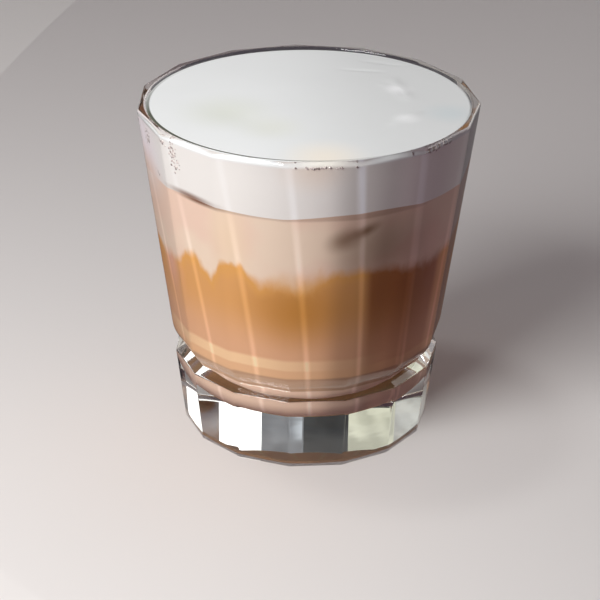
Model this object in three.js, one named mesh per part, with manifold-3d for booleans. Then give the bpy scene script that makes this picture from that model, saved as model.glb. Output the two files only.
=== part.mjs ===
// Iced cappuccino in a fifteen-sided tumbler: thick foot, V notch, round bore, coffee, milk and foam
import * as THREE from 'three';
import { mergeVertices } from 'three/addons/utils/BufferGeometryUtils.js';
import Module from 'manifold-3d';

// Driving dimensions in millimetres, turns in degrees, leans as run over rise
const SIDES = 15;
const FIRST_RIDGE_TURN = -1.3;
const HEIGHT = 95.5;
const RIM_RADIUS = 47;
const SIDE_LEAN = 0.1285;
const LIP_ROUND = 0.7;
const RIDGE_ROUND = 5;

const FOOT_RADIUS = 35.3;
const FOOT_TOP_RADIUS = 37.8;
const FOOT_TOP_HEIGHT = 21.9;
const FOOT_EDGE_ROUND = 0.6;
const HOLLOW_RADIUS = 31;
const HOLLOW_DEPTH = 0.3;
const HOLLOW_STEP = 1.5;

const NOTCH_RADIUS = 34.4;
const NOTCH_HEIGHT = 24;
const SHOULDER_HEIGHT = 31;
const SHOULDER_ROUND = 10;

const BORE_RIM_RADIUS = 44.4;
const BORE_LEAN = 0.2;
const FLOOR_HEIGHT = 13.6;
const FLOOR_ROUND = 6;

const MIX_LEVEL = 59.1;
const FOAM_BASE_LEVEL = 78.9;
const FOAM_TOP_LEVEL = 94.7;
const FOAM_CROWN = 0.4;
const GAP = 0.3;

// Waves round the glass: how many, how high in millimetres, and the turn where a crest stands
const MIX_WAVES = [
  { count: 2, height: 1.9, turn: -86 },
  { count: 5, height: 1.4, turn: 10.4 },
  { count: 15, height: 1.2, turn: 1.3 },
  { count: 18, height: 1, turn: -0.5 },
];
const FOAM_WAVES = [
  { count: 3, height: 0.25, turn: 41 },
  { count: 5, height: 0.6, turn: 5.6 },
];
const CREAM_WAVES = [
  { count: 2, height: 0.12, turn: 20 },
  { count: 3, height: 0.1, turn: 75 },
];

// How finely the faces are cut
const GLASS_COLUMNS_PER_SIDE = 4;
const DRINK_COLUMNS = 90;
const LEVEL_RINGS = [0, 0.55, 0.85, 1];
const SHOULDER_STEPS = 5;
const GLASS_FLOOR_STEPS = 5;
const DRINK_FLOOR_STEPS = 4;

const wasm = await Module();
wasm.setup();

const degrees = THREE.MathUtils.degToRad;
const QUARTER_TURN = Math.PI / 2;
const SIDE_TURN = degrees(360 / SIDES);
const FIRST_RIDGE = degrees(FIRST_RIDGE_TURN);

// Profile points on an arc about a centre, from one angle to another
function arc(centre, size, from, to, steps) {
  const points = [];
  for (let step = 0; step <= steps; step += 1) {
    const angle = from + (to - from) * step / steps;
    points.push({
      radius: centre.radius + size * Math.cos(angle),
      height: centre.height + size * Math.sin(angle),
    });
  }
  return points;
}

// Distance from the axis to a fifteen-sided outline whose ridges stand at this radius
function facetedRadius(ridgeRadius, azimuth) {
  const half = SIDE_TURN / 2;
  const fromRidge = THREE.MathUtils.euclideanModulo(azimuth - FIRST_RIDGE + half, SIDE_TURN) - half;
  return ridgeRadius * Math.cos(half) / Math.cos(half - Math.abs(fromRidge));
}

// Height of a row of waves at an azimuth
function waveHeight(waves, azimuth) {
  let total = 0;
  for (const wave of waves) {
    total += wave.height * Math.cos(wave.count * (azimuth - degrees(wave.turn)));
  }
  return total;
}

// A solid of revolution with a column at each azimuth. A point of its profile
// may be faceted, which puts it on the flat sides, or be lifted by waves.
function revolved(profile, azimuths) {
  const outline = profile.map((point) => new THREE.Vector2(point.radius, point.height));
  const geometry = new THREE.LatheGeometry(outline, azimuths.length);
  const position = geometry.getAttribute('position');
  for (let index = 0; index < position.count; index += 1) {
    const point = profile[index % profile.length];
    const azimuth = azimuths[Math.floor(index / profile.length) % azimuths.length];
    const radius = point.faceted ? facetedRadius(point.radius, azimuth) : point.radius;
    const height = point.height + (point.lift ? point.lift(azimuth) : 0);
    position.setXYZ(index, radius * Math.cos(azimuth), radius * Math.sin(azimuth), height);
  }
  return geometry;
}

// A closed geometry as a solid that can be cut
function solid(geometry) {
  const bare = geometry.clone();
  bare.deleteAttribute('normal');
  bare.deleteAttribute('uv');
  const merged = mergeVertices(bare);
  const corners = merged.getIndex().array;
  const triVerts = [];
  for (let first = 0; first < corners.length; first += 3) {
    const [a, b, c] = corners.slice(first, first + 3);
    if (a !== b && b !== c && c !== a) {
      triVerts.push(a, b, c);
    }
  }
  return new wasm.Manifold(new wasm.Mesh({
    numProp: 3,
    vertProperties: merged.getAttribute('position').array,
    triVerts: new Uint32Array(triVerts),
  }));
}

function geometryOf(cut) {
  const mesh = cut.getMesh();
  const geometry = new THREE.BufferGeometry();
  geometry.setAttribute('position', new THREE.BufferAttribute(mesh.vertProperties, 3));
  geometry.setIndex(new THREE.BufferAttribute(mesh.triVerts, 1));
  geometry.computeVertexNormals();
  return geometry;
}

// Radius of the bore at a height above its rounded floor
function boreRadius(height) {
  return BORE_RIM_RADIUS - BORE_LEAN * (HEIGHT - height);
}

// The bore from the axis out over the floor to the start of the straight wall, shrunk by a gap
function boreFloor(gap, steps) {
  const lean = Math.atan(BORE_LEAN);
  const height = FLOOR_HEIGHT + FLOOR_ROUND;
  const centre = { radius: boreRadius(height) - FLOOR_ROUND / Math.cos(lean), height };
  const size = FLOOR_ROUND - gap;
  return [
    { radius: 0, height: height - size },
    ...arc(centre, size, -QUARTER_TURN, -lean, steps),
  ];
}

// The shallow hollow pressed into the underside, from its middle out to the ring that it stands on
function underside() {
  return [
    { radius: 0, height: HOLLOW_DEPTH },
    { radius: HOLLOW_RADIUS - HOLLOW_STEP, height: HOLLOW_DEPTH },
    { radius: HOLLOW_RADIUS, height: 0 },
  ];
}

// The round that swells from the notch into the leaning side, without its first point
function shoulder() {
  const lean = Math.atan(SIDE_LEAN);
  const sideRadius = RIM_RADIUS - SIDE_LEAN * (HEIGHT - SHOULDER_HEIGHT);
  const centre = {
    radius: sideRadius - SHOULDER_ROUND * Math.cos(lean),
    height: SHOULDER_HEIGHT + SHOULDER_ROUND * Math.sin(lean),
  };
  const start = -Math.asin((centre.height - NOTCH_HEIGHT) / SHOULDER_ROUND);
  return arc(centre, SHOULDER_ROUND, start, -lean, SHOULDER_STEPS).slice(1);
}

// The fifteen flat sides from the foot's lower edge up to the lip, with edges rounded by a chamfer
function outside() {
  const profile = [
    { radius: FOOT_RADIUS - FOOT_EDGE_ROUND, height: 0 },
    { radius: FOOT_RADIUS, height: FOOT_EDGE_ROUND },
    { radius: FOOT_TOP_RADIUS, height: FOOT_TOP_HEIGHT - FOOT_EDGE_ROUND },
    { radius: FOOT_TOP_RADIUS - FOOT_EDGE_ROUND, height: FOOT_TOP_HEIGHT },
    { radius: NOTCH_RADIUS, height: NOTCH_HEIGHT },
    ...shoulder(),
    { radius: RIM_RADIUS, height: HEIGHT - LIP_ROUND },
    { radius: RIM_RADIUS - LIP_ROUND, height: HEIGHT },
  ];
  return profile.map((point) => ({ ...point, faceted: true }));
}

// Columns of the tumbler: none on a ridge itself, so that each ridge comes out as a narrow flat
function tumblerAzimuths() {
  const ridgeHalf = RIDGE_ROUND * Math.tan(SIDE_TURN / 2) / RIM_RADIUS;
  const step = (SIDE_TURN - 2 * ridgeHalf) / (GLASS_COLUMNS_PER_SIDE - 1);
  const azimuths = [];
  for (let side = 0; side < SIDES; side += 1) {
    for (let column = 0; column < GLASS_COLUMNS_PER_SIDE; column += 1) {
      azimuths.push(FIRST_RIDGE + side * SIDE_TURN + ridgeHalf + column * step);
    }
  }
  return azimuths;
}

// Fifteen-sided outside and round bore in one closed profile
function tumbler() {
  const innerEdge = [
    { radius: BORE_RIM_RADIUS + LIP_ROUND / 2, height: HEIGHT },
    { radius: BORE_RIM_RADIUS, height: HEIGHT - LIP_ROUND / 2 },
  ];
  const bore = boreFloor(0, GLASS_FLOOR_STEPS).reverse();
  return revolved([...underside(), ...outside(), ...innerEdge, ...bore], tumblerAzimuths());
}

// Even columns for the drink, all round
function drinkAzimuths() {
  return Array.from({ length: DRINK_COLUMNS }, (unused, column) => degrees(360 * column / DRINK_COLUMNS));
}

// A level in the drink from the axis out to a wall, its waves dying away towards the middle
function waterline(level, waves, crown, wall) {
  return LEVEL_RINGS.map((share) => ({
    radius: share * wall,
    height: level + crown * (1 - share ** 2),
    lift: (azimuth) => waveHeight(waves, azimuth) * share ** 3,
  }));
}

// Everything in the glass, from the rounded floor up to the crowned top
function drinkBody() {
  const top = waterline(FOAM_TOP_LEVEL, CREAM_WAVES, FOAM_CROWN, boreRadius(FOAM_TOP_LEVEL) - GAP);
  return solid(revolved([...boreFloor(GAP, DRINK_FLOOR_STEPS), ...top.reverse()], drinkAzimuths()));
}

// All space under a wavy level, wider than the drink
function under(level, waves) {
  const line = waterline(level, waves, 0, boreRadius(level));
  const edge = { ...line.at(-1), radius: RIM_RADIUS };
  return solid(revolved([
    { radius: 0, height: 0 },
    { radius: RIM_RADIUS, height: 0 },
    edge,
    ...line.reverse(),
  ], drinkAzimuths()));
}

function opaque(color, roughness) {
  return new THREE.MeshStandardMaterial({ color, roughness, metalness: 0 });
}

function named(name, geometry, surface) {
  const mesh = new THREE.Mesh(geometry, surface);
  mesh.name = name;
  return mesh;
}

const clearGlass = new THREE.MeshStandardMaterial({
  color: 0xe4ebea, roughness: 0.04, metalness: 0, transparent: true, opacity: 0.3,
});

const drink = drinkBody();
const coffeeSpace = under(MIX_LEVEL, MIX_WAVES);
const milkSpace = under(FOAM_BASE_LEVEL, FOAM_WAVES);
const coffee = drink.intersect(coffeeSpace);
const milk = drink.intersect(milkSpace).subtract(coffeeSpace.translate([0, 0, GAP]));
const foam = drink.subtract(milkSpace.translate([0, 0, GAP]));

const cappuccino = new THREE.Group();
cappuccino.add(named('glass', tumbler(), clearGlass));
cappuccino.add(named('coffee_layer', geometryOf(coffee), opaque(0xb9855a, 0.5)));
cappuccino.add(named('milk_layer', geometryOf(milk), opaque(0xd9c0a6, 0.5)));
cappuccino.add(named('milk_foam', geometryOf(foam), opaque(0xe6e6e2, 0.8)));

export default cappuccino;
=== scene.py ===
"""Iced cappuccino in a faceted tumbler: clear pressed glass, coffee, milk and foam, from the foot up."""

import math
import random
import bmesh
import bpy
from mathutils import Matrix, Vector


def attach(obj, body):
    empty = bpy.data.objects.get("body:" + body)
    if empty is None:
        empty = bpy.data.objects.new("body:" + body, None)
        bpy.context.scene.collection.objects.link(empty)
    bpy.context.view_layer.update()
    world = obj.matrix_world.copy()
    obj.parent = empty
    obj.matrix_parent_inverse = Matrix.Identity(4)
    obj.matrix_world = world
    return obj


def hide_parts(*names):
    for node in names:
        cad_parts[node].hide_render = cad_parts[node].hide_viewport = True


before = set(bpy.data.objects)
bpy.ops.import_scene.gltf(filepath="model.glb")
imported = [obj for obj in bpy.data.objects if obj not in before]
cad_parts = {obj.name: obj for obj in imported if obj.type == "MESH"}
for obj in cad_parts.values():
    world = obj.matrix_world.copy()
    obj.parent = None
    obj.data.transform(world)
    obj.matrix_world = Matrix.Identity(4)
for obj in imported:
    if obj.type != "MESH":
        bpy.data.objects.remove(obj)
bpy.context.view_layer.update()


# The tumbler is one gob of clear soda-lime glass, pressed in a fifteen-sided mould and fire polished.
# Its foot is solid, with a V notch cut in above it, and the flat sides lean outwards to a thin round lip.
# Underneath, the pressing leaves a shallow flat hollow, so that it stands on a narrow ring.
MM = 0.001
SIDES = 15
SIDE_TURN = math.tau / SIDES
FIRST_RIDGE = math.radians(-1.3)
GLASS_COLUMNS = 18 * SIDES
RIDGE_CROWDING = 0.85
RIM_HEIGHT = 95.5
RIM_RADIUS = 47
SIDE_LEAN = 0.1285
SHOULDER_HEIGHT = 31
SHOULDER_ROUND = 10
NOTCH = (34.4, 24)
FOOT_TOP = (37.8, 21.9)
FOOT_RADIUS = 35.3
HOLLOW_RADIUS = 31
HOLLOW_DEPTH = 0.3
HOLLOW_STEP = 1.5
FOOT_RIDGE_ROUND = 0.8
BODY_RIDGE_ROUND = 4.5
BORE_RIM_RADIUS = 44.4
BORE_LEAN = 0.2
FLOOR_HEIGHT = 13.6
FLOOR_ROUND = 6
LIP_ROUND = 0.7
LIP_INNER_ROUND = 0.6
FOOT_ROUND = 0.7
NOTCH_ROUND = 0.5
SHOULDER_STEPS = 14
BORE_STEPS = 16
HOLLOW_SHARES = (0, 0.25, 0.5, 0.75, 0.95)
HOLLOW_STEP_SHARES = (1, 0.85, 0.7, 0.5, 0.3, 0.15, 0.03)
GLASS_INDEX = 1.55
GLASS_TINT = (0.985, 0.995, 0.99, 1)
GLASS_SHADE = (0.97, 0.98, 0.975, 1)
FLOW_SCALE = 55.0
FLOW_STRENGTH = 0.03
FLOW_DEPTH = 0.6 * MM


def bore_radius(height):
    """Radius of the bore in its straight part"""
    return BORE_RIM_RADIUS - BORE_LEAN * (RIM_HEIGHT - height)


def rounded(corners, steps):
    """Points along corners given as (radius, height, round), each one turned into an arc of its round"""
    points = []
    for index, (radius, height, size) in enumerate(corners):
        corner = Vector((radius, height))
        if size == 0:
            points.append(corner)
            continue
        before = (Vector(corners[index - 1][:2]) - corner).normalized()
        after = (Vector(corners[index + 1][:2]) - corner).normalized()
        half = before.angle(after) / 2
        reach = size / math.tan(half)
        centre = corner + (before + after).normalized() * size / math.sin(half)
        support = min(0.25, 0.3 * size)
        points.append(corner + before * (reach + support))
        for step in range(steps + 1):
            chord = before.lerp(after, step / steps) * reach
            points.append(centre + (corner + chord - centre).normalized() * size)
        points.append(corner + after * (reach + support))
    return points


def ridge_round(height):
    """How round the mould left the ridges: crisp on the foot, soft on the body"""
    share = min(max((height - NOTCH[1]) / (SHOULDER_HEIGHT - NOTCH[1]), 0), 1)
    return FOOT_RIDGE_ROUND + (BODY_RIDGE_ROUND - FOOT_RIDGE_ROUND) * share * share * (3 - 2 * share)


def faceted_radius(ridge_radius, from_ridge, size):
    """Distance from the axis to a fifteen-sided outline whose ridges are rounded to this size"""
    half = SIDE_TURN / 2
    flat = ridge_radius * math.cos(half)
    turn = abs(from_ridge)
    round_turn = half - math.atan((flat - size) * math.tan(half) / flat)
    if turn > round_turn:
        return flat / math.cos(half - turn)
    centre = (flat - size) / math.cos(half)
    return centre * math.cos(turn) + math.sqrt(size ** 2 - (centre * math.sin(turn)) ** 2)


def spun(points, columns):
    """A closed body from a profile of (radius, height) in millimetres that runs from the axis to the axis"""
    body = bmesh.new()
    profile = [body.verts.new((radius * MM, 0, height * MM)) for radius, height in points]
    edges = [body.edges.new(pair) for pair in zip(profile, profile[1:])]
    bmesh.ops.spin(
        body, geom=profile + edges, cent=(0, 0, 0), axis=(0, 0, 1), dvec=(0, 0, 0),
        angle=math.tau, steps=columns, use_merge=True, use_duplicate=False,
    )
    bmesh.ops.remove_doubles(body, verts=body.verts, dist=0.002 * MM)
    bmesh.ops.recalc_face_normals(body, faces=body.faces)
    return body


def piece(name, body, sharp_turn=None):
    """An object from a bmesh, smooth all over but for edges that turn more than sharp_turn degrees"""
    for face in body.faces:
        face.smooth = True
    if sharp_turn is not None:
        for edge in body.edges:
            edge.smooth = edge.calc_face_angle(0) < math.radians(sharp_turn)
    mesh = bpy.data.meshes.new(name)
    body.to_mesh(mesh)
    body.free()
    made = bpy.data.objects.new(name, mesh)
    bpy.context.scene.collection.objects.link(made)
    return made


hollow = [((HOLLOW_RADIUS - HOLLOW_STEP) * share, HOLLOW_DEPTH) for share in HOLLOW_SHARES]
hollow += [
    (HOLLOW_RADIUS - HOLLOW_STEP * share, HOLLOW_DEPTH * share * share * (3 - 2 * share))
    for share in HOLLOW_STEP_SHARES
]
side_lean = math.atan(SIDE_LEAN)
shoulder_centre = (
    RIM_RADIUS - SIDE_LEAN * (RIM_HEIGHT - SHOULDER_HEIGHT) - SHOULDER_ROUND * math.cos(side_lean),
    SHOULDER_HEIGHT + SHOULDER_ROUND * math.sin(side_lean),
)
shoulder_start = math.asin((shoulder_centre[1] - NOTCH[1]) / SHOULDER_ROUND)
shoulder = [
    (
        shoulder_centre[0] + SHOULDER_ROUND * math.cos(turn),
        shoulder_centre[1] - SHOULDER_ROUND * math.sin(turn),
        0,
    )
    for turn in [
        shoulder_start + (side_lean - shoulder_start) * step / SHOULDER_STEPS
        for step in range(1, SHOULDER_STEPS + 1)
    ]
]
outside = rounded([
    (HOLLOW_RADIUS, 0, 0),
    (FOOT_RADIUS, 0, FOOT_ROUND),
    (*FOOT_TOP, NOTCH_ROUND),
    (*NOTCH, NOTCH_ROUND),
    *shoulder,
    (shoulder[-1][0] + SIDE_LEAN * 0.4, SHOULDER_HEIGHT + 0.4, 0),
    (RIM_RADIUS, RIM_HEIGHT, LIP_ROUND),
    (BORE_RIM_RADIUS, RIM_HEIGHT, LIP_INNER_ROUND),
    (BORE_RIM_RADIUS - 2, RIM_HEIGHT - 10, 0),
], 6)[:-1]
lean = math.atan(BORE_LEAN)
floor_edge = bore_radius(FLOOR_HEIGHT + FLOOR_ROUND) - FLOOR_ROUND / math.cos(lean)
bore = [
    (
        floor_edge + FLOOR_ROUND * math.cos(turn),
        FLOOR_HEIGHT + FLOOR_ROUND + FLOOR_ROUND * math.sin(turn),
    )
    for turn in [-lean - (math.pi / 2 - lean) * step / BORE_STEPS for step in range(BORE_STEPS + 1)]
]
floor_rings = [(floor_edge * share, FLOOR_HEIGHT) for share in (0.75, 0.5, 0.25, 0)]
tumbler_body = spun(hollow + [tuple(point) for point in outside] + bore + floor_rings, GLASS_COLUMNS)

for vert in tumbler_body.verts:
    radius = vert.co.to_2d().length / MM
    height = vert.co.z / MM
    if radius < 0.01:
        continue
    share = (math.atan2(vert.co.y, vert.co.x) / SIDE_TURN) % 1
    from_ridge = SIDE_TURN * (share - RIDGE_CROWDING * math.sin(math.tau * share) / math.tau)
    side = math.floor(math.atan2(vert.co.y, vert.co.x) / SIDE_TURN)
    azimuth = FIRST_RIDGE + side * SIDE_TURN + from_ridge
    on_bore = radius < bore_radius(height) + 1.2 and height > FLOOR_HEIGHT - 1
    if radius > HOLLOW_RADIUS + 0.1 and not on_bore:
        from_ridge = min(from_ridge, SIDE_TURN - from_ridge)
        radius = faceted_radius(radius, from_ridge, ridge_round(height))
    vert.co = Vector((radius * math.cos(azimuth), radius * math.sin(azimuth), height)) * MM
tumbler = piece("tumbler", tumbler_body)


def srgb(red, green, blue):
    """A colour given as 0 to 255 on screen, for a shader"""
    channels = [value / 255 for value in (red, green, blue)]
    return (*[c / 12.92 if c < 0.04045 else ((c + 0.055) / 1.055) ** 2.4 for c in channels], 1)


def add(tree, kind, *sources, **settings):
    """A shader node with its settings, and a number, colour or other node's socket for each input in turn"""
    made = tree.nodes.new("ShaderNode" + kind)
    for name, value in settings.items():
        setattr(made, name, value)
    for socket, source in zip(made.inputs, sources):
        if isinstance(source, bpy.types.NodeSocket):
            tree.links.new(source, socket)
        elif source is not None:
            socket.default_value = source
    return made


def maths(tree, operation, *sources):
    return add(tree, "Math", *sources, operation=operation).outputs[0]


def on_object(tree):
    """The place of the point that is shaded, in the object's own metres"""
    return add(tree, "TexCoord").outputs["Object"]


def ramp(tree, value, low, high, start=0.0, end=1.0):
    """A value eased from start to end as it passes from low to high"""
    return add(
        tree, "MapRange", value, low, high, start, end,
        interpolation_type="SMOOTHSTEP",
    ).outputs[0]


def mixed(tree, share, first, second, blend_type="MIX"):
    """Two colours mixed by a share"""
    made = tree.nodes.new("ShaderNodeMix")
    made.data_type = "RGBA"
    made.blend_type = blend_type
    for index, source in ((0, share), (6, first), (7, second)):
        if isinstance(source, bpy.types.NodeSocket):
            tree.links.new(source, made.inputs[index])
        else:
            made.inputs[index].default_value = source
    return made.outputs[2]


def surfaced(name, **values):
    """A new material, its node tree and its main shader, with plain values on the shader's own sockets"""
    made = bpy.data.materials.new(name)
    made.use_nodes = True
    shader = made.node_tree.nodes["Principled BSDF"]
    for socket, value in values.items():
        shader.inputs[socket.replace("_", " ")].default_value = value
    return made, made.node_tree, shader


clear, tree, shader = surfaced(
    "clear_pressed_glass", Roughness=0.0, IOR=GLASS_INDEX, Transmission_Weight=1.0, Base_Color=GLASS_TINT,
)
waves = add(tree, "TexNoise", on_object(tree), None, FLOW_SCALE, 2.0, 0.45)
flow = add(tree, "Bump", FLOW_STRENGTH, FLOW_DEPTH, None, waves.outputs[0])
tree.links.new(flow.outputs[0], shader.inputs["Normal"])
path = add(tree, "LightPath")
soft_rays = maths(tree, "MAXIMUM", path.outputs["Is Shadow Ray"], path.outputs["Is Diffuse Ray"])
let_light_in = add(tree, "BsdfTransparent", GLASS_SHADE)
glass_mix = add(tree, "MixShader", soft_rays, shader.outputs[0], let_light_in.outputs[0])
tree.links.new(glass_mix.outputs[0], tree.nodes["Material Output"].inputs[0])
tumbler.data.materials.append(clear)
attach(tumbler, "root")
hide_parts("glass")


# The bottom layer is coffee with some milk stirred in: an opaque, still liquid that wets the glass.
# It fills the bore from the rounded floor up to a smoky, waving border.
DRINK_COLUMNS = 360
INTO_WALL = 0.15
MIX_LEVEL = 59.1
MIX_WAVES = ((2, 1.9, -86), (5, 1.4, 10.4), (15, 1.2, 1.3), (18, 1, -0.5))
LEVEL_SHARES = (1, 0.93, 0.85, 0.6, 0.3, 0)
COFFEE_WALL_HEIGHTS = (24, 30, 36, 42, 48, 52)
EDGE_SHARP_TURN = 40
NEAR_WALL_SHARE = 0.99
NEAR_WALL_GAP = 0.6
ROUNDED_TOP = 1.5


def wave_height(waves, azimuth):
    """Height of a row of waves, each given as how many, how high and the turn of a crest"""
    return sum(high * math.cos(count * (azimuth - math.radians(turn))) for count, high, turn in waves)


def settled(body, level, waves):
    """Lifts every point of a flat level by its waves, which die away towards the middle"""
    for vert in body.verts:
        if abs(vert.co.z / MM - level) < 0.01:
            azimuth = math.atan2(vert.co.y, vert.co.x)
            share = vert.co.to_2d().length / MM / bore_radius(level)
            vert.co.z += wave_height(waves, azimuth) * share ** 3 * MM


def to_wall(body):
    """Puts the points at the side back on the wall after the waves have moved them up or down"""
    for vert in body.verts:
        height = vert.co.z / MM
        radius = vert.co.to_2d().length / MM
        straight = FLOOR_HEIGHT + FLOOR_ROUND < height < RIM_HEIGHT - ROUNDED_TOP
        if straight and radius > NEAR_WALL_SHARE * bore_radius(height) - NEAR_WALL_GAP:
            vert.co.xy *= (bore_radius(height) + INTO_WALL) / radius


floor_curve = [
    (radius + INTO_WALL * max(0, (height - FLOOR_HEIGHT) / FLOOR_ROUND), height - INTO_WALL)
    for radius, height in reversed(bore)
]
coffee_profile = [(0, FLOOR_HEIGHT - INTO_WALL), (floor_edge / 2, FLOOR_HEIGHT - INTO_WALL)]
coffee_profile += floor_curve
coffee_profile += [(bore_radius(height) + INTO_WALL, height) for height in COFFEE_WALL_HEIGHTS]
coffee_profile += [(bore_radius(MIX_LEVEL) * share, MIX_LEVEL) for share in LEVEL_SHARES]
coffee_body = spun(coffee_profile, DRINK_COLUMNS)
settled(coffee_body, MIX_LEVEL, MIX_WAVES)
to_wall(coffee_body)
coffee = piece("coffee", coffee_body, EDGE_SHARP_TURN)


# The ridges of the glass gather light into upright bands on the drink, and shade its right front
SHADED_TURN = 292
SHADED_REACH = (6, 17)
SHADED_MOST = 0.24
BAND_LEAN = 0.105
BAND_SHIFT = 0.5
BAND_HALF_WIDTH = 2.3
BAND_BEST_TURN = 290
BAND_BEST_REACH = (12, 30)
BAND_BEST = 0.9
BAND_HEIGHTS = (56, 82)
BAND_SHARES = (0.7, 0.16)
BAND_LIGHT = (0.26, 0.30, 0.36, 1)
BLACK = (0, 0, 0, 1)

# Colours of the coffee. A blot is given by turn, level, degrees wide, millimetres high, climb and strength.
COFFEE_HIGH = srgb(220, 162, 100)
COFFEE_LOW = srgb(226, 174, 134)
COFFEE_CHANGE = (34, 52)
AMBER = srgb(196, 136, 66)
AMBER_BLOT = (266, 50, 34, 17)
GOLDEN = srgb(226, 166, 90)
GOLDEN_DEPTH = (-6, -1)
GOLDEN_SHARE = 0.7
ROSY = srgb(230, 174, 148)
ROSY_BLOT = (200, 55, 13, 16, 0.0, 0.9)
# A pale band of painted light low on the coffee, for light coming in through the foot
PAINTED_LIGHT_BAND = srgb(246, 206, 160)
PAINTED_LIGHT_BAND_HEIGHTS = (34.2, 32.8)
PAINTED_LIGHT_BAND_BLOT = (235, 32, 90, 60, 0.0, 1.1)
# A bright spot of painted light just over the floor, for light coming in through the foot
PAINTED_FOOT_LIGHT = srgb(255, 252, 246)
PAINTED_FOOT_LIGHT_HEIGHTS = (13.6, 14.4)
PAINTED_FOOT_LIGHT_BLOT = (88, 14, 70, 9, 0.0, 1.3)
# A painted shadow behind a ridge at the right front, stronger higher up
SHADOW = srgb(160, 98, 50)
SHADOW_TURN = 300
SHADOW_SPAN = 40
SHADOW_SOFT = 3.0
SHADOW_HEIGHTS = (26, 56)
SHADOW_SHARES = (0.2, 0.9)

# Further colours of the coffee near the floor, bands of painted light and shade: each takes over from the
# first height down to the second
COFFEE_STEPS = (
    (30.6, 29.8, srgb(234, 186, 142)), (28.3, 27.8, srgb(192, 154, 122)),
    (22.0, 19.5, srgb(236, 204, 178)), (14.6, 13.9, srgb(255, 214, 148)),
)

# Colours of the milk, and its blots as in the coffee, each with its colour
MILK_ROSY = srgb(236, 206, 184)
MILK_PALE = srgb(238, 216, 192)
MILK_SHADE = srgb(136, 104, 78)
LOWER_FOAM_EDGE_SHADE = srgb(128, 92, 72)
# The dark blots are painted shade: a broad one on the right side, two for the shadow of an edge of ice, and a
# thin one under the foam
MILK_BLOTS = (
    (240, 70, 12, 20, 0.0, 1.0, srgb(238, 212, 182)), (300, 68, 28, 18, 0.0, 0.6, MILK_SHADE),
    (284, 72, 10, 5, 0.15, 0.75, MILK_SHADE), (291, 74.2, 8, 2.6, 0.2, 0.9, MILK_SHADE),
    (190, 83, 24, 15, 0.0, 0.9, srgb(242, 228, 220)), (228, 78.9, 17, 1.3, -0.01, 1.0, LOWER_FOAM_EDGE_SHADE),
)
MILK_CLOUDS = 60.0
# A thin line of painted shade under the foam
LINE_TURN = 255
LINE_TURNS = (-20, 60, 12)
LINE_HEIGHTS = (77.9, 79.6, 0.4)
LINE_SHARE = 0.35

# How the two mix: stretched noise in two sizes, which moves their border up and down in millimetres
TALL_CLOUDS = (170.0, 170.0, 75.0)
FINE_CLOUDS = (280.0, 280.0, 110.0)
TALL_STIR = 6.0
FINE_STIR = 3.4
STIR_SHIFT = -4.7
BORDER_SOFTNESS = 1.35
# A painted mauve tint of coloured light on the shaded right side of the drink
MAUVE = srgb(206, 150, 150)
MAUVE_BLOT = (345, 60, 34, 60)
MAUVE_SHARE = 0.35

# Where the milk ends over the coffee, all round: turn, height and how softly it blends
MILK_EDGE = (
    (193, 55.7, 1.5), (204, 56.7, 1.5), (210, 57.8, 1.2), (215, 61.0, 1.4), (221, 61.8, 1.3),
    (224, 59.6, 1.5), (229, 57.0, 1.6), (232, 58.6, 1.2), (236, 62.2, 0.9), (243, 63.0, 1.0),
    (247, 59.6, 1.5), (252, 57.6, 2.0), (258, 59.2, 3.4), (270, 59.8, 3.6), (281, 61.4, 2.0),
    (289, 62.7, 1.6), (300, 61.4, 1.6), (313, 60.2, 2.0), (326, 58.6, 2.2), (345, 60.8, 1.6),
    (368, 61.6, 2.4), (385, 58.2, 3.0), (399, 60.4, 1.2), (409, 62.6, 0.8), (418, 58.6, 1.2),
    (434, 59.4, 3.2), (458, 60.6, 3.0), (472, 57.2, 1.2), (483, 61.4, 0.9), (493, 62.0, 1.0),
    (507, 58.4, 2.2), (530, 59.6, 2.6), (543, 57.4, 1.6),
)


def milk_edge(turn):
    """Height and softness of the milk's lower edge at a turn"""
    first = MILK_EDGE[0][0]
    turn = (turn - first) % 360 + first
    ring = (*MILK_EDGE, (first + 360, *MILK_EDGE[0][1:]))
    before, after = next(pair for pair in zip(ring, ring[1:]) if turn <= pair[1][0])
    share = (turn - before[0]) / (after[0] - before[0])
    share *= share * (3 - 2 * share)
    return [low + (high - low) * share for low, high in zip(before[1:], after[1:])]


def bordered(made):
    """Stores on each point how far it lies above the milk's lower edge, and how soft that edge is there"""
    above = made.data.attributes.new("above_edge", "FLOAT", "POINT")
    soft = made.data.attributes.new("edge_softness", "FLOAT", "POINT")
    for vert in made.data.vertices:
        edge, softness = milk_edge(math.degrees(math.atan2(vert.co.y, vert.co.x)))
        above.data[vert.index].value = vert.co.z / MM - edge
        soft.data[vert.index].value = softness


def around(tree):
    """Azimuth in degrees and height in millimetres of the point that is shaded"""
    across, deep, up = add(tree, "SeparateXYZ", on_object(tree)).outputs
    azimuth = maths(tree, "MULTIPLY", maths(tree, "ARCTAN2", deep, across), 180 / math.pi)
    return azimuth, maths(tree, "MULTIPLY", up, 1 / MM)


def within(tree, value, low, high, soft):
    """1 between two values and 0 outside them, with soft edges"""
    return maths(tree, "MULTIPLY", ramp(tree, value, low - soft, low + soft),
                 ramp(tree, value, high - soft, high + soft, 1.0, 0.0))


def past(tree, azimuth, turn, half_span=180):
    """Degrees from a turn to the point, repeated at every span"""
    return maths(tree, "WRAP", maths(tree, "SUBTRACT", azimuth, turn), half_span, -half_span)


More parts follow.
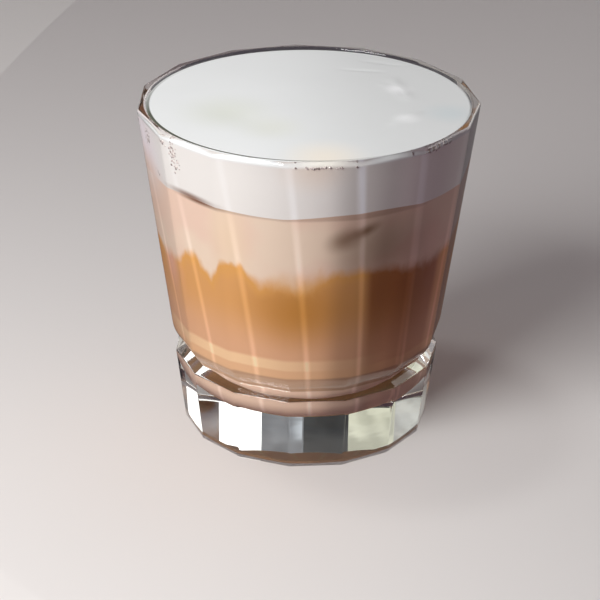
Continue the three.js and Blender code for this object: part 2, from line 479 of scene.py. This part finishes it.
def blot(tree, spot, turn, level, wide, high, climb=0.0, most=1.0):
    """A soft ellipse on the side, degrees wide and millimetres high: most in its middle, 0 at its edge"""
    across = past(tree, spot[0], turn)
    above = maths(tree, "SUBTRACT", spot[1], maths(tree, "MULTIPLY_ADD", across, climb, level))
    across = maths(tree, "POWER", maths(tree, "DIVIDE", across, wide), 2)
    above = maths(tree, "POWER", maths(tree, "DIVIDE", above, high), 2)
    return ramp(tree, maths(tree, "SQRT", maths(tree, "ADD", across, above)), 0.0, 1.0, most, 0.0)


def under_ridges(tree, spot, colour):
    """Adds the soft upright bands of light that the ridges of the glass throw on what is behind them"""
    azimuth, height = spot
    shaded = maths(tree, "ABSOLUTE", past(tree, azimuth, SHADED_TURN))
    colour = mixed(tree, ramp(tree, shaded, *SHADED_REACH, SHADED_MOST, 0.0), colour, BLACK)
    leaning = maths(tree, "MULTIPLY_ADD", height, BAND_LEAN, azimuth)
    first = math.degrees(FIRST_RIDGE) + BAND_SHIFT + BAND_LEAN * RIM_HEIGHT
    from_band = maths(tree, "ABSOLUTE", past(tree, leaning, first, 180 / SIDES))
    band = ramp(tree, from_band, 0.2, BAND_HALF_WIDTH, 1.0, 0.0)
    away = maths(tree, "ABSOLUTE", past(tree, azimuth, BAND_BEST_TURN))
    most = add(tree, "MapRange", height, *BAND_HEIGHTS, *BAND_SHARES).outputs[0]
    most = add(tree, "MapRange", away, *BAND_BEST_REACH, BAND_BEST, most).outputs[0]
    return mixed(tree, maths(tree, "MULTIPLY", band, most), colour, BAND_LIGHT, "DODGE")


def blots(tree, spot, colour, places):
    """A colour with soft ellipses of other colours laid over it"""
    for *shape, tint in places:
        colour = mixed(tree, blot(tree, spot, *shape), colour, tint)
    return colour


def coffee_colours(tree, spot, stirred):
    """Coffee with milk stirred in: amber at the front, rosy on the left, in painted bands of light and shade
    where the floor bends it, with a painted bright spot over the floor and a painted shadow behind a ridge
    """
    azimuth, height = spot
    colour = mixed(tree, ramp(tree, height, *COFFEE_CHANGE), COFFEE_LOW, COFFEE_HIGH)
    colour = mixed(tree, blot(tree, spot, *AMBER_BLOT), colour, AMBER)
    colour = mixed(tree, ramp(tree, stirred, *GOLDEN_DEPTH, 0.0, GOLDEN_SHARE), colour, GOLDEN)
    colour = mixed(tree, blot(tree, spot, *ROSY_BLOT), colour, ROSY)
    # Painted light and shade near the floor: a pale band, bands of light and shade, and a bright spot
    low = ramp(tree, height, *PAINTED_LIGHT_BAND_HEIGHTS)
    colour = mixed(tree, maths(tree, "MULTIPLY", low, blot(tree, spot, *PAINTED_LIGHT_BAND_BLOT)), colour, PAINTED_LIGHT_BAND)
    for above, below, tint in COFFEE_STEPS:
        colour = mixed(tree, ramp(tree, height, above, below), colour, tint)
    over_floor = ramp(tree, height, *PAINTED_FOOT_LIGHT_HEIGHTS)
    colour = mixed(tree, maths(tree, "MULTIPLY", over_floor, blot(tree, spot, *PAINTED_FOOT_LIGHT_BLOT)), colour, PAINTED_FOOT_LIGHT)
    # Painted shadow behind a ridge
    leaning = maths(tree, "MULTIPLY_ADD", height, BAND_LEAN, azimuth)
    behind_ridge = within(tree, past(tree, leaning, SHADOW_TURN), 0, SHADOW_SPAN, SHADOW_SOFT)
    deep = maths(tree, "MULTIPLY", behind_ridge, ramp(tree, height, *SHADOW_HEIGHTS, *SHADOW_SHARES))
    return mixed(tree, deep, colour, SHADOW)


def milk_colours(tree, spot, place):
    """Milk that coffee has tinted: clouds, a painted shadow of an edge of ice, painted shade on its right
    side, and a thin line of painted shade under the foam
    """
    azimuth, height = spot
    cloud = add(tree, "TexNoise", place, None, MILK_CLOUDS, 2.0, 0.5).outputs[0]
    colour = mixed(tree, ramp(tree, cloud, 0.38, 0.62), MILK_ROSY, MILK_PALE)
    colour = blots(tree, spot, colour, MILK_BLOTS)
    # The line under the foam is painted shade
    line = within(tree, past(tree, azimuth, LINE_TURN), *LINE_TURNS)
    line = maths(tree, "MULTIPLY", within(tree, height, *LINE_HEIGHTS), line)
    return mixed(tree, maths(tree, "MULTIPLY", line, LINE_SHARE), colour, LOWER_FOAM_EDGE_SHADE)


def drink_colours(tree):
    """The colours of coffee and milk as they mix round their border, with what light and glass add to them"""
    place = on_object(tree)
    spot = around(tree)
    tall = add(tree, "Mapping", place, None, None, TALL_CLOUDS).outputs[0]
    smoke = add(tree, "TexNoise", tall, None, 1.0, 4.0, 0.55).outputs[0]
    fine = add(tree, "Mapping", place, None, None, FINE_CLOUDS).outputs[0]
    wisps = add(tree, "TexNoise", fine, None, 1.0, 3.0, 0.6).outputs[0]
    stir = maths(tree, "MULTIPLY_ADD", wisps, FINE_STIR, STIR_SHIFT)
    stir = maths(tree, "MULTIPLY_ADD", smoke, TALL_STIR, stir)
    above = add(tree, "Attribute", attribute_name="above_edge").outputs["Fac"]
    stirred = maths(tree, "ADD", above, stir)
    softness = add(tree, "Attribute", attribute_name="edge_softness").outputs["Fac"]
    softness = maths(tree, "MULTIPLY", softness, BORDER_SOFTNESS)
    share = ramp(tree, stirred, maths(tree, "MULTIPLY", softness, -1.0), softness)
    colour = mixed(tree, share, coffee_colours(tree, spot, stirred), milk_colours(tree, spot, place))
    # Painted mauve light on the right side
    mauve = maths(tree, "MULTIPLY", blot(tree, spot, *MAUVE_BLOT), MAUVE_SHARE)
    colour = mixed(tree, mauve, colour, MAUVE)
    return under_ridges(tree, spot, colour)


mixed_coffee, tree, shader = surfaced("milky_coffee", Roughness=0.5, Specular_IOR_Level=0.05)
tree.links.new(drink_colours(tree), shader.inputs["Base Color"])
bordered(coffee)
coffee.data.materials.append(mixed_coffee)
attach(coffee, "root")
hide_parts("coffee_layer")


# The middle layer is milk that the coffee has tinted, poured in over ice and left to settle.
# It sinks into the coffee in soft fingers and ends under the foam in a thin line.
FOAM_BASE_LEVEL = 78.9
FOAM_WAVES = ((3, 0.25, 41), (5, 0.6, 5.6))
MILK_WALL_HEIGHTS = (70, 74)

milk_profile = [(bore_radius(MIX_LEVEL) * share, MIX_LEVEL) for share in reversed(LEVEL_SHARES)]
milk_profile += [(bore_radius(height) + INTO_WALL, height) for height in MILK_WALL_HEIGHTS]
milk_profile += [(bore_radius(FOAM_BASE_LEVEL) * share, FOAM_BASE_LEVEL) for share in LEVEL_SHARES]
milk_body = spun(milk_profile, DRINK_COLUMNS)
settled(milk_body, MIX_LEVEL, MIX_WAVES)
settled(milk_body, FOAM_BASE_LEVEL, FOAM_WAVES)
to_wall(milk_body)
milk = piece("milk", milk_body, EDGE_SHARP_TURN)

tinted_milk, tree, shader = surfaced("tinted_milk", Roughness=0.5, Specular_IOR_Level=0.05)
tree.links.new(drink_colours(tree), shader.inputs["Base Color"])
bordered(milk)
milk.data.materials.append(tinted_milk)
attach(milk, "root")
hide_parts("milk_layer")


# The head is cold milk whipped to a fine, dense foam. It is spooned on until it stands level with the rim,
# where it clings to the glass, and its top has settled smooth and slightly crowned.
FOAM_TOP_LEVEL = 94.7
FOAM_CROWN = 0.4
CREAM_WAVES = ((2, 0.12, 20), (3, 0.1, 75))
FOAM_WALL_HEIGHTS = (84, 89, 93.6)
FOAM_SHOULDER = ((0.02, 94.3), (0.25, 94.6), (0.7, FOAM_TOP_LEVEL))
FOAM_RINGS = 60
FOAM_SHARP_TURN = 60

# Marks of the spoon on the top: from here to there, half as wide as this, and how high or deep
SPOON_MARKS = (
    (23.6, 18.0, 27.2, 2.6, 1.9, 0.34), (22.4, -16.8, 29.8, -8.2, 1.3, 0.34),
    (20.2, 14.0, 25.4, 9.6, 1.2, 0.18), (9.0, 26.4, 21.0, 24.6, 0.8, -0.2),
    (15.5, 34.2, 26.4, 30.2, 0.8, -0.2), (-26.0, -5.0, -10.0, -20.0, 5.0, -0.16),
    (-8.0, 12.0, 6.0, 18.0, 6.0, 0.1), (-2.0, -30.0, 14.0, -27.0, 5.0, 0.08),
)


def strokes(across, deep):
    """How far each mark lifts the top at a point"""
    for first_x, first_y, last_x, last_y, wide, high in SPOON_MARKS:
        start, along = Vector((first_x, first_y)), Vector((last_x - first_x, last_y - first_y))
        offset = Vector((across, deep)) - start
        share = min(max(offset.dot(along) / along.length_squared, 0), 1)
        away = (offset - along * share).length / wide
        taper = math.sin(math.pi * (0.12 + 0.76 * share))
        yield high * taper * math.exp(-away * away)


foam_profile = [
    (bore_radius(FOAM_BASE_LEVEL) * share, FOAM_BASE_LEVEL) for share in reversed(LEVEL_SHARES)
]
foam_profile += [(bore_radius(height) + INTO_WALL, height) for height in FOAM_WALL_HEIGHTS]
foam_edge = bore_radius(FOAM_TOP_LEVEL) + INTO_WALL
foam_profile += [(foam_edge - inward, height) for inward, height in FOAM_SHOULDER]
foam_profile += [
    (foam_edge * (1 - ring / FOAM_RINGS), FOAM_TOP_LEVEL) for ring in range(1, FOAM_RINGS + 1)
]
foam_body = spun(foam_profile, DRINK_COLUMNS)
settled(foam_body, FOAM_BASE_LEVEL, FOAM_WAVES)
to_wall(foam_body)
for vert in foam_body.verts:
    if vert.co.z / MM > FOAM_TOP_LEVEL - 0.01:
        share = vert.co.to_2d().length / MM / foam_edge
        azimuth = math.atan2(vert.co.y, vert.co.x)
        lift = FOAM_CROWN * (1 - share ** 2) + wave_height(CREAM_WAVES, azimuth) * share ** 3
        vert.co.z += (lift + sum(strokes(vert.co.x / MM, vert.co.y / MM))) * MM
foam = piece("foam", foam_body, FOAM_SHARP_TURN)

# A thin line of painted shade where the foam meets the glass, wider towards the front
EDGE_LEAST = 1.15
EDGE_FRONT = 1.3
EDGE_WIDE = 1.0
EDGE_SOFT = 0.2
EDGE_FRONT_BLOT = (268, 94.5, 70, 60)
EDGE_BLOT = (222, 94.5, 90, 60, 0.0, 1.3)
FOAM_EDGE_SHADE = srgb(84, 86, 74)

# Faint tints of the top: across, deep, how wide, and the colour. The two small near-white ones are painted
# highlights on marks of the spoon, and the grey one on the right is painted shade. The top also darkens a
# little to the right, as painted shade.
FOAM_PATCHES = (
    (-22, -9, 17, srgb(224, 228, 216)), (-10, -20, 12, srgb(228, 231, 221)),
    (25, 10, 5.5, srgb(246, 248, 248)), (26, -12.5, 5, srgb(246, 248, 248)),
    (38, -8, 10, srgb(206, 216, 218)), (4, -40, 14, srgb(246, 236, 218)),
)
TOP_TINTS = (srgb(239, 242, 241), srgb(233, 236, 235))
TOP_PAINTED_SHADE = 0.15
TOP_PAINTED_SHADE_SPAN = (-0.018, 0.026)

# Tints of the side, given as in the milk, one of them a thin line of painted shade along the foam's lower
# edge, and the heights between which top and side meet
SIDE_BLOTS = (
    (192, 86, 22, 22, 0.0, 1.0, srgb(250, 242, 244)), (190, 76, 24, 13, 0.0, 0.9, MILK_ROSY),
    (224, 79.5, 18, 1.7, -0.02, 0.9, LOWER_FOAM_EDGE_SHADE), (272, 93, 16, 9, 0.0, 0.7, srgb(238, 222, 204)),
)
SIDE_TINTS = (srgb(240, 237, 230), srgb(234, 232, 226))
SIDE_HEIGHTS = (94.2, 93.2)

# Soft clouds of tint, and the froth's own grain
CLOUD_SCALE = 40.0
FROTH_SCALE = 1800.0
FROTH_STRENGTH = 0.08
FROTH_DEPTH = 0.4 * MM

whipped, tree, shader = surfaced("whipped_milk", Roughness=0.6, Specular_IOR_Level=0.3)
place = on_object(tree)
spot = around(tree)
cloud = add(tree, "TexNoise", place, None, CLOUD_SCALE, 3.0, 0.5).outputs[0]
top = mixed(tree, cloud, *TOP_TINTS)
across = add(tree, "SeparateXYZ", place).outputs[0]
# Painted shade: the top darkens towards the right
top = mixed(tree, ramp(tree, across, *TOP_PAINTED_SHADE_SPAN, 0.0, TOP_PAINTED_SHADE), top, BLACK)
# Faint tints, two of them painted highlights on the spoon marks and one painted shade on the right
for patch_x, patch_y, wide, tint in FOAM_PATCHES:
    moved = add(tree, "Mapping", place, (-patch_x * MM, -patch_y * MM, -FOAM_TOP_LEVEL * MM)).outputs[0]
    distance = add(tree, "VectorMath", moved, operation="LENGTH").outputs["Value"]
    top = mixed(tree, ramp(tree, distance, 0.0, wide * MM, 0.7, 0.0), top, tint)
from_axis = add(tree, "VectorMath", place, (1, 1, 0), operation="MULTIPLY").outputs[0]
from_axis = add(tree, "VectorMath", from_axis, operation="LENGTH").outputs["Value"]
# Painted shade along the edge of the top where it meets the glass
front = blot(tree, spot, *EDGE_FRONT_BLOT)
inner = maths(tree, "MULTIPLY_ADD", front, -EDGE_FRONT * MM, (foam_edge - EDGE_LEAST) * MM)
outward = maths(tree, "MULTIPLY", maths(tree, "SUBTRACT", from_axis, inner), 1 / MM)
edge_shade = within(tree, outward, 0.05, EDGE_WIDE, EDGE_SOFT)
edge_shade = maths(tree, "MULTIPLY", edge_shade, blot(tree, spot, *EDGE_BLOT))
top = mixed(tree, edge_shade, top, FOAM_EDGE_SHADE)
side = mixed(tree, cloud, *SIDE_TINTS)
side = under_ridges(tree, spot, blots(tree, spot, side, SIDE_BLOTS))
colour = mixed(tree, ramp(tree, spot[1], *SIDE_HEIGHTS), top, side)
tree.links.new(colour, shader.inputs["Base Color"])
froth = add(tree, "TexNoise", place, None, FROTH_SCALE, 2.0, 0.6)
grain = add(tree, "Bump", FROTH_STRENGTH, FROTH_DEPTH, None, froth.outputs[0])
tree.links.new(grain.outputs[0], shader.inputs["Normal"])
foam.data.materials.append(whipped)
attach(foam, "root")
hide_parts("milk_foam")


# Small bubbles stand where the foam meets the glass: two clusters on the left, a row under the front of the
# rim and a few all round. Each is a thin film of milk, pressed flat against the wall.

# Groups of bubbles: turn, level, degrees wide, millimetres high and how many
BUBBLE_GROUPS = (
    (197.0, 89.0, 2.4, 3.2, 34), (218.0, 89.2, 2.4, 4.0, 46), (213.0, 92.6, 1.6, 1.0, 6),
    (274.0, 93.8, 8.5, 0.35, 24), (318.0, 93.8, 11.0, 0.4, 24), (205.0, 81.5, 3.0, 1.2, 5),
    (152.0, 91.0, 9.0, 1.8, 14), (35.0, 91.5, 12.0, 1.6, 16), (92.0, 93.0, 14.0, 0.8, 18),
)
BUBBLE_SIZES = (0.16, 0.38)
BUBBLE_FLATNESS = 0.8
FILM_CELLS = 900.0
FILM_TINTS = (srgb(222, 210, 204), srgb(138, 124, 118))
# A painted highlight: each bubble's rim goes white where its surface turns away from the view
FILM_RIM_HIGHLIGHT = srgb(250, 248, 246)

random.seed(12)
bubbles_body = bmesh.new()
for turn, level, wide, high, count in BUBBLE_GROUPS:
    for _ in range(count):
        azimuth = math.radians(turn + random.gauss(0, 0.5) * wide)
        height = min(level + random.gauss(0, 0.5) * high, FOAM_TOP_LEVEL - 0.3)
        size = random.uniform(*BUBBLE_SIZES)
        on_wall = Matrix.Translation(((bore_radius(height) + INTO_WALL) * MM, 0, height * MM))
        bmesh.ops.create_uvsphere(
            bubbles_body, u_segments=8, v_segments=6, radius=size * MM,
            matrix=Matrix.Rotation(azimuth, 4, "Z") @ on_wall @ Matrix.Diagonal((BUBBLE_FLATNESS, 1, 1, 1)),
        )
bubbles = piece("bubbles", bubbles_body)

film, tree, shader = surfaced("bubble_film", Roughness=0.25)
# Painted highlight on the bubbles' rims
facing = add(tree, "LayerWeight", 0.35).outputs["Facing"]
edge = ramp(tree, facing, 0.35, 0.85)
cells = add(tree, "TexNoise", on_object(tree), None, FILM_CELLS, 1.0, 0.5).outputs[0]
film_colour = mixed(tree, ramp(tree, cells, 0.42, 0.58), *FILM_TINTS)
tree.links.new(mixed(tree, edge, film_colour, FILM_RIM_HIGHLIGHT), shader.inputs["Base Color"])
bubbles.data.materials.append(film)
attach(bubbles, "root")


# A pale table top, a large soft light at the front left, a small one overhead, and a room whose pale and dark
# parts show in the foot. The camera stands where the rim is a full ellipse over the straight sides.

# The table top's own colour, the one that glass shows of it away from the foot, and the one it throws back
TABLE_SIZE = 6.0
TABLE_PALE = srgb(226, 223, 220)
TABLE_THROUGH_GLASS = srgb(74, 68, 76)
TABLE_AS_LIGHT = srgb(140, 120, 130)
TABLE_REACH = (0.044, 0.05)
LIGHT_AIM = Vector((0, 0, 0.05))

table_body = bmesh.new()
bmesh.ops.create_grid(table_body, x_segments=4, y_segments=4, size=TABLE_SIZE / 2)
table = piece("table", table_body)
table_finish, tree, shader = surfaced("pale_table", Roughness=0.7)
path = add(tree, "LightPath")
from_middle = add(tree, "VectorMath", on_object(tree), operation="LENGTH").outputs["Value"]
far = ramp(tree, from_middle, *TABLE_REACH)
bent = maths(tree, "MAXIMUM", path.outputs["Is Transmission Ray"], path.outputs["Is Glossy Ray"])
colour = mixed(tree, maths(tree, "MULTIPLY", far, bent), TABLE_PALE, TABLE_THROUGH_GLASS)
colour = mixed(tree, path.outputs["Is Diffuse Ray"], colour, TABLE_AS_LIGHT)
tree.links.new(colour, shader.inputs["Base Color"])
table.data.materials.append(table_finish)


def soft_light(name, azimuth, elevation, distance, width, height, power):
    """A rectangular soft light that looks at the middle of the glass"""
    lamp = bpy.data.lights.new(name, "AREA")
    lamp.shape = "RECTANGLE"
    lamp.size = width
    lamp.size_y = height
    lamp.energy = power
    made = bpy.data.objects.new(name, lamp)
    turn, rise = math.radians(azimuth), math.radians(elevation)
    away = Vector((math.cos(turn) * math.cos(rise), math.sin(turn) * math.cos(rise), math.sin(rise)))
    made.location = away * distance + LIGHT_AIM
    made.rotation_euler = away.to_track_quat("Z", "Y").to_euler()
    bpy.context.scene.collection.objects.link(made)


soft_light("front_left", 226.5, 33, 0.6, 0.34, 0.34, 4.3)
soft_light("overhead", 164, 72.7, 1.0, 0.13, 0.13, 0.9)


# Parts of the room: their span of azimuth and of elevation in degrees, how soft they end, and their light
ROOM_PARTS = (
    ((84, 145), (31.5, 45), 1.0, (0.45, 0.44, 0.44, 1)),
    ((20, 75), (4, 44), 1.5, (2.0, 2.0, 1.95, 1)),
    ((76, 93), (-5, 32.5), 0.5, (0.21, 0.215, 0.225, 1)),
    ((80.1, 80.8), (30.1, 30.8), 0.4, (0.85, 0.9, 0.95, 1)),
    ((93, 113.6), (-5, 32.5), 0.5, (0.05, 0.053, 0.053, 1)),
    ((114.4, 136), (-5, 32.5), 0.4, (0.62, 0.62, 0.49, 1)),
    ((140, 175), (-5, 32.5), 1.0, (0.56, 0.57, 0.53, 1)),
)
UNEVEN_SCALE = 46.0
UNEVEN_SHARES = (0.76, 1.28)

# The rest of the room, and the even light that the drink gets in its place: low, high and where they meet
ROOM_WALLS = (0.035, 0.035, 0.04, 1)
ROOM_CEILING = (0.3, 0.3, 0.3, 1)
CEILING_RISE = (70, 85)
FILL_LOW = (0.066, 0.032, 0.046, 1)
FILL_HIGH = (0.26, 0.27, 0.275, 1)
FILL_RISE = (45, 80)

world = bpy.data.worlds.new("studio")
world.use_nodes = True
tree = world.node_tree
outward = add(tree, "TexCoord").outputs["Generated"]
across, deep, up = add(tree, "SeparateXYZ", outward).outputs
azimuth = maths(tree, "MULTIPLY", maths(tree, "ARCTAN2", deep, across), 180 / math.pi)
elevation = maths(tree, "MULTIPLY", maths(tree, "ARCSINE", up), 180 / math.pi)
room = mixed(tree, ramp(tree, elevation, *CEILING_RISE), ROOM_WALLS, ROOM_CEILING)
for azimuths, elevations, soft, light in ROOM_PARTS:
    across_span = within(tree, azimuth, *azimuths, soft)
    up_span = within(tree, elevation, *elevations, soft)
    room = mixed(tree, maths(tree, "MULTIPLY", across_span, up_span), room, light)
unevenness = add(tree, "TexNoise", outward, None, UNEVEN_SCALE, 2.0, 0.5).outputs[0]
uneven = add(tree, "VectorMath", room, operation="SCALE")
tree.links.new(ramp(tree, unevenness, 0.36, 0.64, *UNEVEN_SHARES), uneven.inputs["Scale"])
fill = mixed(tree, ramp(tree, elevation, *FILL_RISE), FILL_LOW, FILL_HIGH)
room = mixed(tree, add(tree, "LightPath").outputs["Is Diffuse Ray"], uneven.outputs[0], fill)
tree.links.new(room, tree.nodes["Background"].inputs[0])
bpy.context.scene.world = world


CAMERA_ELEVATION = 26.3258
CAMERA_ROLL = 0.5087
CAMERA_AIM = Vector((-0.00185, 0, 0.03457))
CAMERA_DISTANCE = 0.539
CAMERA_LENS = 112.9
SENSOR_WIDTH = 36
NEAREST = 0.01

lens = bpy.data.cameras.new("camera")
lens.lens = CAMERA_LENS
lens.sensor_width = SENSOR_WIDTH
lens.clip_start = NEAREST
camera = bpy.data.objects.new("camera", lens)
tilt = Matrix.Rotation(math.radians(90 - CAMERA_ELEVATION), 3, "X")
view = tilt @ Matrix.Rotation(math.radians(CAMERA_ROLL), 3, "Z")
camera.rotation_euler = view.to_euler()
camera.location = CAMERA_AIM + view @ Vector((0, 0, CAMERA_DISTANCE))
bpy.context.scene.collection.objects.link(camera)
scene = bpy.context.scene
scene.camera = camera
scene.view_settings.view_transform = "Standard"
scene.cycles.max_bounces = 24
scene.cycles.transmission_bounces = 20
scene.cycles.transparent_max_bounces = 16
